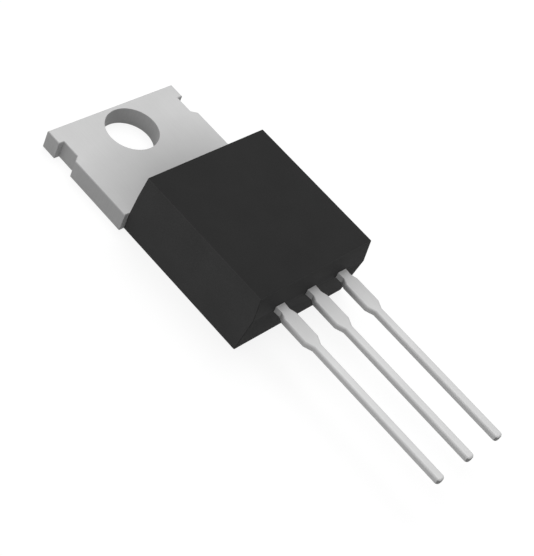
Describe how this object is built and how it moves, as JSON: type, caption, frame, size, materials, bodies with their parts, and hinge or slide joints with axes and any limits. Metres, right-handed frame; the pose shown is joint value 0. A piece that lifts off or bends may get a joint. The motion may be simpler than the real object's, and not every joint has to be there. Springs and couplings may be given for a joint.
{
  "type": "power mosfet",
  "caption": "Three-lead power transistor: black moulded body, flat metal mounting tab with a screw hole and side notches, and straight flat leads in a row.",
  "frame": {"origin": "centre of the mounting hole on the mounting face, which is the exposed metal back of the tab", "axes": "+X along the row of leads, +Y towards the free end of the tab, away from the leads, +Z out of the front of the moulding"},
  "size_m": [0.0096, 0.0292, 0.0044],
  "materials": {
    "tinned_copper": "matte tin plating over copper",
    "solder": "reflowed soft solder, satin",
    "silicon": "polished silicon with an aluminium film on top",
    "bond_wire": "drawn wire, satin",
    "mould_compound": "fine matte texture of a spark-eroded mould"
  },
  "bodies": {
    "root": {"drain_header": "tinned_copper", "gate_lead": "tinned_copper", "source_lead": "tinned_copper", "die_attach_solder": "solder", "silicon_die": "silicon", "gate_bond_wire": "bond_wire", "source_bond_wire_1": "bond_wire", "source_bond_wire_2": "bond_wire", "moulded_body": "mould_compound"}
  },
  "joints": []
}
